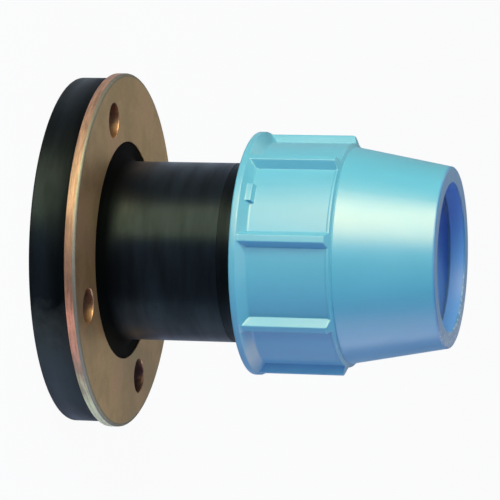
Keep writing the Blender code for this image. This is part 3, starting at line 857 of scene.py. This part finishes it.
class OBJECT_OT_adaptor_ring(bpy.types.Operator):
    """Add the loose steel backing ring with its bolt holes"""

    bl_idname = "object.adaptor_ring"
    bl_label = "Backing ring"

    def execute(self, context):
        looks = settings("adaptor_ring")
        hole = settings("adaptor_body").hub_radius + FIT_GAP
        edge = looks.edge_rounding
        corners = [
            (RING_HIGH.x, RING_HIGH.z, edge),
            (RING_HIGH.x, RING_LOW.z, 0.0004),
            (hole, RING_LOW.z, 0.0004),
            (hole, RING_HIGH.z, looks.hole_rounding),
        ]
        ring = new_object("steel_ring", turned("steel_ring", corners))
        combine(ring, drill_mesh("ring_drills", RING_LOW.z, RING_HIGH.z, looks.hole_rounding), "DIFFERENCE")
        finish_piece(ring, passivated_steel(), "backing_ring", "ring")
        return {"FINISHED"}


def soft_least(a, b, softness):
    blend = np.clip(0.5 + 0.5 * (b - a) / softness, 0, 1)
    return b + (a - b) * blend - softness * blend * (1 - blend)


def soft_most(a, b, softness):
    return -soft_least(-a, -b, softness)


def nut_angles():
    """Angles of the nut's columns: close together at the edges and feet of the ribs and of the pad."""
    looks = settings("adaptor_nut")
    crest = looks.rib_crest / 2
    foot = crest + looks.rib_height * math.tan(looks.rib_flank)
    near = [-0.45, -0.25, -0.1, 0.05, 0.2, 0.35, 0.55]
    marks = [0.0, crest / 2]
    marks += [crest + d * MILLIMETRE for d in near]
    marks += [(crest + foot) / 2 - 0.3 * MILLIMETRE, (crest + foot) / 2 + 0.3 * MILLIMETRE]
    marks += [foot + d * MILLIMETRE for d in near]
    marks += [foot + 1.2 * MILLIMETRE, foot + 2.2 * MILLIMETRE]
    sector = math.tau / looks.rib_count
    start = marks[-1] / looks.panel_radius
    gap = [start + (sector / 2 - start) * i / 9 for i in range(1, 10)]
    half = [m / looks.panel_radius for m in marks] + gap
    angles = set()
    for i in range(looks.rib_count):
        middle = looks.rib_phase + sector * i
        angles |= {round((middle + side * a) % math.tau, 6) for a in half for side in (1, -1)}
    pad_edge = looks.pad_width / 2
    for offset in (-0.5, -0.25, 0, 0.25, 0.5):
        a = (pad_edge + offset * MILLIMETRE) / looks.panel_radius
        angles |= {round((looks.pad_angle + side * a) % math.tau, 6) for side in (1, -1)}
    ordered = sorted(angles)
    kept = [a for a, b in zip(ordered, ordered[1:] + [ordered[0] + math.tau]) if b - a > 2e-4]
    return np.array(kept)


def turn_from(angles, middle):
    """How far each angle lies from the middle, without sign."""
    return np.abs((angles - middle + math.pi) % math.tau - math.pi)


def nut_shape(radii, heights, angles):
    """Raises the ribs and the pad from the nut's outer side."""
    looks = settings("adaptor_nut")
    sector = math.tau / looks.rib_count
    off = np.abs((angles - looks.rib_phase + sector / 2) % sector - sector / 2) * looks.panel_radius
    crest = looks.panel_radius + looks.rib_height
    soft = looks.rib_rounding
    flank = crest - (off - looks.rib_crest / 2) / math.tan(looks.rib_flank)
    end = crest - (heights - looks.rib_end) * looks.rib_height / looks.rib_end_slope
    rib = soft_least(soft_least(np.full_like(flank, crest), flank, soft), end, looks.end_rounding)
    raised = soft_most(radii, rib, looks.foot_rounding)
    pad_off = turn_from(angles, looks.pad_angle) * looks.panel_radius
    side = looks.pad_radius - (pad_off - looks.pad_width / 2) * 6
    front = looks.pad_radius - (heights - looks.pad_end) * 2
    pad = soft_least(soft_least(np.full_like(side, looks.pad_radius), side, soft / 2), front, soft / 2)
    return soft_most(raised, pad, soft / 2)


def evenly(start, end, count):
    return [start + (end - start) * i / count for i in range(1, count)]


class OBJECT_OT_adaptor_nut(bpy.types.Operator):
    """Add the light blue clamp nut: collar, ribs, cone, mouth and inner thread"""

    bl_idname = "object.adaptor_nut"
    bl_label = "Clamp nut"

    def outline(self):
        """The nut's section between the ribs, outer side first and downwards."""
        looks = settings("adaptor_nut")
        rear, front = NUT_LOW.z, NUT_HIGH.z
        collar, rim = NUT_HIGH.x, looks.mouth_radius + looks.rim_width
        collar_top = rear + looks.collar_width
        panel_start = collar_top + looks.collar_slope
        groove = looks.cone_radius - looks.groove_depth
        return [
            (rim, front, looks.rim_rounding),
            (looks.cone_radius, looks.cone_start, 0.0002),
            (groove, looks.groove_height, 0.0002),
            (looks.panel_radius + looks.lip_height, looks.panel_end, 0.0003),
            (looks.panel_radius + looks.lip_height, looks.panel_end - looks.lip_width, 0.0003),
            (looks.panel_radius, looks.panel_end - looks.lip_width - looks.lip_height, 0.0003),
            (looks.panel_radius, panel_start, 0.0012),
            (collar, collar_top, looks.collar_rounding),
            (collar, rear, looks.collar_rounding),
            (looks.bore_radius + looks.lead_in, rear, 0.0004),
            (looks.bore_radius, rear + looks.lead_in, 0.0004),
            (looks.bore_radius, looks.bore_end, 0.0008),
            (looks.seat_start_radius, looks.seat_start, 0.0008),
            (looks.seat_end_radius, looks.seat_end, 0.0003),
            (looks.mouth_radius, front - looks.mouth_land, 0.0006),
            (looks.mouth_radius, front, looks.mouth_rounding),
        ]

    def rows(self):
        """The section with extra points where ribs and pad need them."""
        looks = settings("adaptor_nut")
        points = rounded(self.outline())
        extra = evenly(looks.rib_end - 0.0012, looks.panel_end - 0.0006, 10)
        extra += evenly(NUT_LOW.z + looks.collar_width + 0.0008, looks.pad_end + 0.0022, 16)
        extra += evenly(looks.panel_end + 0.0003, looks.groove_height - 0.0002, 5)
        added = []
        for start, end in zip(points, points[1:] + points[:1]):
            added.append(start)
            if min(start[0], end[0]) < looks.bore_radius + looks.lead_in + 0.0001:
                continue
            if start[1] - end[1] < 0.0004:
                continue
            inside = sorted((z for z in extra if end[1] + 0.0001 < z < start[1] - 0.0001), reverse=True)
            for z in inside:
                part = (start[1] - z) / (start[1] - end[1])
                added.append((start[0] + (end[0] - start[0]) * part, z))
        return np.array(added)

    def execute(self, context):
        shared, looks = settings("adaptor_shared"), settings("adaptor_nut")
        section, angles = self.rows(), nut_angles()
        radii = np.repeat(section[:, :1], len(angles), axis=1)
        heights = np.repeat(section[:, 1:], len(angles), axis=1)
        low = NUT_LOW.z + looks.collar_width / 2
        outer = (section[:, 0] > looks.bore_radius + looks.lead_in) & (section[:, 1] > low)
        radii[outer] = nut_shape(radii[outer], heights[outer], angles)
        nut = new_object("blue_nut", ring_mesh("blue_nut", radii, heights, angles))
        ridge = thread_mesh(
            "nut_ridge",
            shared.thread_start - shared.thread_pitch / 2,
            shared.thread_turns + 0.25,
            looks.bore_radius,
            shared.core_radius + shared.thread_clearance,
            looks.bore_radius + 0.8 * MILLIMETRE,
        )
        combine(nut, ridge, "UNION")
        finish_piece(nut, blue_polypropylene(), "clamp_nut", "nut", sharp=50)
        return {"FINISHED"}


class OBJECT_OT_adaptor_inner_rings(bpy.types.Operator):
    """Add the three rings inside the nut: grip ring, packing bush and seal ring"""

    bl_idname = "object.adaptor_inner_rings"
    bl_label = "Inner rings"

    def grip(self):
        """A split cone with saw teeth inside."""
        shared, nut, looks = settings("adaptor_shared"), settings("adaptor_nut"), settings("adaptor_inner")
        low, high, bore = GRIP_LOW.z, GRIP_HIGH.z, shared.socket_radius
        edge = looks.edge_rounding
        fall = (nut.seat_start_radius - nut.seat_end_radius) / (nut.seat_end - nut.seat_start)
        front_radius = nut.seat_start_radius - (high - nut.seat_start) * fall - FIT_GAP
        rear_radius = nut.seat_start_radius - (low - nut.seat_start) * fall - FIT_GAP
        corners = [(front_radius, high, edge), (rear_radius, low, edge), (bore, low, edge)]
        tooth = (high - low) / (looks.tooth_count + 1)
        for i in range(looks.tooth_count):
            start = low + tooth * (i + 0.5)
            corners.append((bore, start, 0))
            corners.append((bore + looks.tooth_depth, start + FIT_GAP, 0))
            corners.append((bore, start + tooth * 0.8, 0))
        corners.append((bore, high, edge))
        ring = new_object("split_grip", turned("split_grip", corners, TURN_STEPS // 2))
        combine(ring, slot_mesh("grip_slot", low, high), "DIFFERENCE")
        finish = plain_moulded("natural_acetal", looks.acetal, 0.36, 1.5 * MILLIMETRE)
        finish_piece(ring, finish, "grip_ring", "gripper", sharp=25)

    def bush(self):
        """A stepped ring whose nose enters the seal's chamber."""
        shared, looks = settings("adaptor_shared"), settings("adaptor_inner")
        low, high, bore, edge = BUSH_LOW.z, BUSH_HIGH.z, shared.socket_radius, looks.edge_rounding
        nose = shared.chamber_radius - FIT_GAP
        corners = [
            (BUSH_HIGH.x, high, edge),
            (BUSH_HIGH.x, looks.bush_step, edge),
            (nose, looks.bush_step, 0),
            (nose, low, edge),
            (bore, low, edge),
            (bore, high, edge),
        ]
        bush = new_object("stepped_bush", turned("stepped_bush", corners, TURN_STEPS // 2))
        finish = plain_moulded("moulded_bush_polypropylene", looks.bush_black, 0.45, 1.5 * MILLIMETRE)
        finish_piece(bush, finish, "packing_bush", "body", sharp=35)

    def seal(self):
        """A round-section ring of rubber."""
        looks, section = settings("adaptor_inner"), (SEAL_HIGH.z - SEAL_LOW.z) / 2
        middle, centre = (SEAL_HIGH.z + SEAL_LOW.z) / 2, SEAL_HIGH.x - section
        turns = [-math.tau * i / SEAL_STEPS for i in range(SEAL_STEPS)]
        corners = [
            (centre + section * math.cos(t), middle + section * math.sin(t), 0) for t in turns
        ]
        seal = new_object("rubber_seal", turned("rubber_seal", corners, TURN_STEPS // 2))
        finish = plain_moulded("nitrile_rubber", looks.rubber, 0.6, 0.8 * MILLIMETRE)
        finish_piece(seal, finish, "seal_ring", "body", sharp=60)

    def execute(self, context):
        self.grip()
        self.bush()
        self.seal()
        return {"FINISHED"}


# Floor, surroundings, lamps and camera


# Lamps: name, degrees round the axis from the camera to the picture's top, degrees above the floor,
# distance, width, height, watts and tint
LAMP_AIM = 0.1
LAMPS = (
    ("wide_strip_softbox", 42, 2.4, 2.0, 1.8, 0.32, 6.5, "FFF6EC"),
    ("key_softbox", 38, 4.5, 2.0, 1.5, 0.45, 34, "FFF2B4"),
    ("side_softbox", 62, 22, 2.0, 0.6, 0.6, 10, "FFE0A0"),
    ("upper_softbox", 45, 45, 2.0, 0.8, 0.8, 16, "FFFCC0"),
    ("top_softbox", 0, 85, 2.0, 1.0, 1.0, 5.2, "F8F4FF"),
    ("front_softbox", 8, 28, 2.0, 0.6, 0.6, 4, "6C98FF"),
    ("lower_softbox", -90, 35, 2.0, 0.8, 0.8, 7, "E0E8F8"),
    ("low_strip", -92, 2.4, 2.0, 1.8, 0.32, 7.5, "DCECFF"),
    ("lower_rim_softbox", -131, 27, 2.0, 0.8, 0.9, 5, "FFF0C0"),
    ("upper_rim_softbox", 128, 27, 2.0, 0.8, 0.9, 3, "FFFBE0"),
    ("back_softbox", 180, 28, 2.2, 2.0, 1.2, 3.8, "F8FFC8"),
)


def from_camera_side(azimuth, across, up, out):
    """A place given as the photograph sees it: across is up the pipe, up is upwards in the picture, and
    out is towards the camera."""
    side = Vector((-math.cos(azimuth), -math.sin(azimuth), 0))
    forward = Vector((math.sin(azimuth), -math.cos(azimuth), 0))
    return Vector((0, 0, across)) + side * up + forward * out


def add_lamp(name, place, aim, width, height, watts, tint):
    lamp = bpy.data.lights.new(name, "AREA")
    lamp.shape = "RECTANGLE"
    lamp.size = width
    lamp.size_y = height
    lamp.energy = watts
    lamp.color = tint
    obj = new_object(name, lamp)
    obj.location = place
    obj.rotation_euler = (aim - place).to_track_quat("-Z", "Y").to_euler()
    return obj


class OBJECT_OT_adaptor_stage(bpy.types.Operator):
    """Add the floor, the surroundings, the lamps and the camera"""

    bl_idname = "object.adaptor_stage"
    bl_label = "Stage"

    def floor(self, looks):
        """A white floor: it shows white to the camera and in reflections, and keeps a soft shadow."""
        bm = bmesh.new()
        bmesh.ops.create_circle(bm, cap_ends=True, segments=96, radius=9)
        mesh = bpy.data.meshes.new("floor")
        bm.to_mesh(mesh)
        bm.free()
        floor = new_object("floor", mesh)
        floor.location.z = -0.0002
        material, tree, shader = new_material("matt_white_paper")
        shader.inputs["Base Color"].default_value = looks.floor
        shader.inputs["Roughness"].default_value = 0.9
        shader.inputs["Specular IOR Level"].default_value = 0.1
        rays = add_node(tree, "ShaderNodeLightPath")
        mirrored = add_node(
            tree,
            "ShaderNodeMath",
            {0: rays.outputs["Is Glossy Ray"], 1: rays.outputs["Is Transmission Ray"]},
            operation="MAXIMUM",
        )
        mirrored_share = add_node(
            tree,
            "ShaderNodeMath",
            {0: mirrored.outputs[0], 1: looks.floor_in_reflections},
            operation="MULTIPLY",
        )
        seen_share = add_node(
            tree,
            "ShaderNodeMath",
            {0: rays.outputs["Is Camera Ray"], 1: looks.floor_seen},
            operation="MULTIPLY",
        )
        part = add_node(
            tree,
            "ShaderNodeMath",
            {0: mirrored_share.outputs[0], 1: seen_share.outputs[0]},
            operation="MAXIMUM",
        )
        white = add_node(tree, "ShaderNodeEmission", {"Color": (1, 1, 1, 1), "Strength": 1.0})
        mix = add_node(
            tree,
            "ShaderNodeMixShader",
            {0: part.outputs[0], 1: shader.outputs[0], 2: white.outputs[0]},
        )
        tree.links.new(mix.outputs[0], tree.nodes["Material Output"].inputs[0])
        mesh.materials.append(material)

    def surroundings(self, looks):
        world = bpy.data.worlds.new("plain_studio")
        bpy.context.scene.world = world
        world.use_nodes = True
        background = world.node_tree.nodes["Background"]
        background.inputs["Color"].default_value = looks.sky
        background.inputs["Strength"].default_value = 1

    def lamps(self, looks):
        for name, around, above, distance, width, height, watts, tint in LAMPS:
            around, above = math.radians(around), math.radians(above)
            level = distance * math.cos(above)
            place = from_camera_side(
                looks.camera_azimuth,
                LAMP_AIM + distance * math.sin(above),
                level * math.sin(around),
                level * math.cos(around),
            )
            add_lamp(name, place, Vector((0, 0, LAMP_AIM)), width, height, watts, linear(tint)[:3])

    def camera(self, looks):
        data = bpy.data.cameras.new("camera")
        camera = new_object("camera", data)
        data.lens = looks.focal_length
        data.sensor_width = 36
        data.clip_end = 50
        azimuth = looks.camera_azimuth
        right = Vector((0, 0, 1))
        up = Vector((-math.cos(azimuth), -math.sin(azimuth), 0))
        back = Vector((math.sin(azimuth), -math.cos(azimuth), 0))
        turn = (
            Matrix.Rotation(looks.camera_roll, 3, "Z")
            @ Matrix.Rotation(looks.camera_pitch, 3, "X")
            @ Matrix.Rotation(looks.camera_yaw, 3, "Y")
        )
        axes = turn @ Matrix((right, up, back))
        place = back * looks.camera_distance + Vector((0, 0, looks.camera_height))
        camera.matrix_world = Matrix.Translation(place) @ axes.transposed().to_4x4()
        bpy.context.scene.camera = camera

    def execute(self, context):
        looks = settings("adaptor_studio")
        self.floor(looks)
        self.surroundings(looks)
        self.lamps(looks)
        self.camera(looks)
        context.scene.view_settings.view_transform = "Standard"
        return {"FINISHED"}


class VIEW3D_PT_adaptor(bpy.types.Panel):
    """Lists the pieces of the flange adaptor"""

    bl_idname = "VIEW3D_PT_adaptor"
    bl_label = "Flange adaptor"
    bl_space_type = "VIEW_3D"
    bl_region_type = "UI"
    bl_category = "Adaptor"

    def draw(self, context):
        for operator in OPERATORS:
            self.layout.operator(operator.bl_idname)


OPERATORS = (
    OBJECT_OT_adaptor_body,
    OBJECT_OT_adaptor_ring,
    OBJECT_OT_adaptor_nut,
    OBJECT_OT_adaptor_inner_rings,
    OBJECT_OT_adaptor_stage,
)
GROUPS = {
    "adaptor_shared": AdaptorSharedSizes,
    "adaptor_body": AdaptorBodyLooks,
    "adaptor_ring": AdaptorRingLooks,
    "adaptor_nut": AdaptorNutLooks,
    "adaptor_inner": AdaptorInnerLooks,
    "adaptor_studio": AdaptorStudioLooks,
}


def register():
    for group in GROUPS.values():
        bpy.utils.register_class(group)
    for operator in OPERATORS:
        bpy.utils.register_class(operator)
    bpy.utils.register_class(VIEW3D_PT_adaptor)
    for name, group in GROUPS.items():
        setattr(bpy.types.Scene, name, PointerProperty(type=group))


def unregister():
    for name in GROUPS:
        delattr(bpy.types.Scene, name)
    bpy.utils.unregister_class(VIEW3D_PT_adaptor)
    for operator in reversed(OPERATORS):
        bpy.utils.unregister_class(operator)
    for group in reversed(GROUPS.values()):
        bpy.utils.unregister_class(group)


def main():
    register()
    bpy.ops.object.adaptor_body()
    bpy.ops.object.adaptor_ring()
    bpy.ops.object.adaptor_nut()
    bpy.ops.object.adaptor_inner_rings()
    bpy.ops.object.adaptor_stage()


if __name__ == "__main__":
    main()
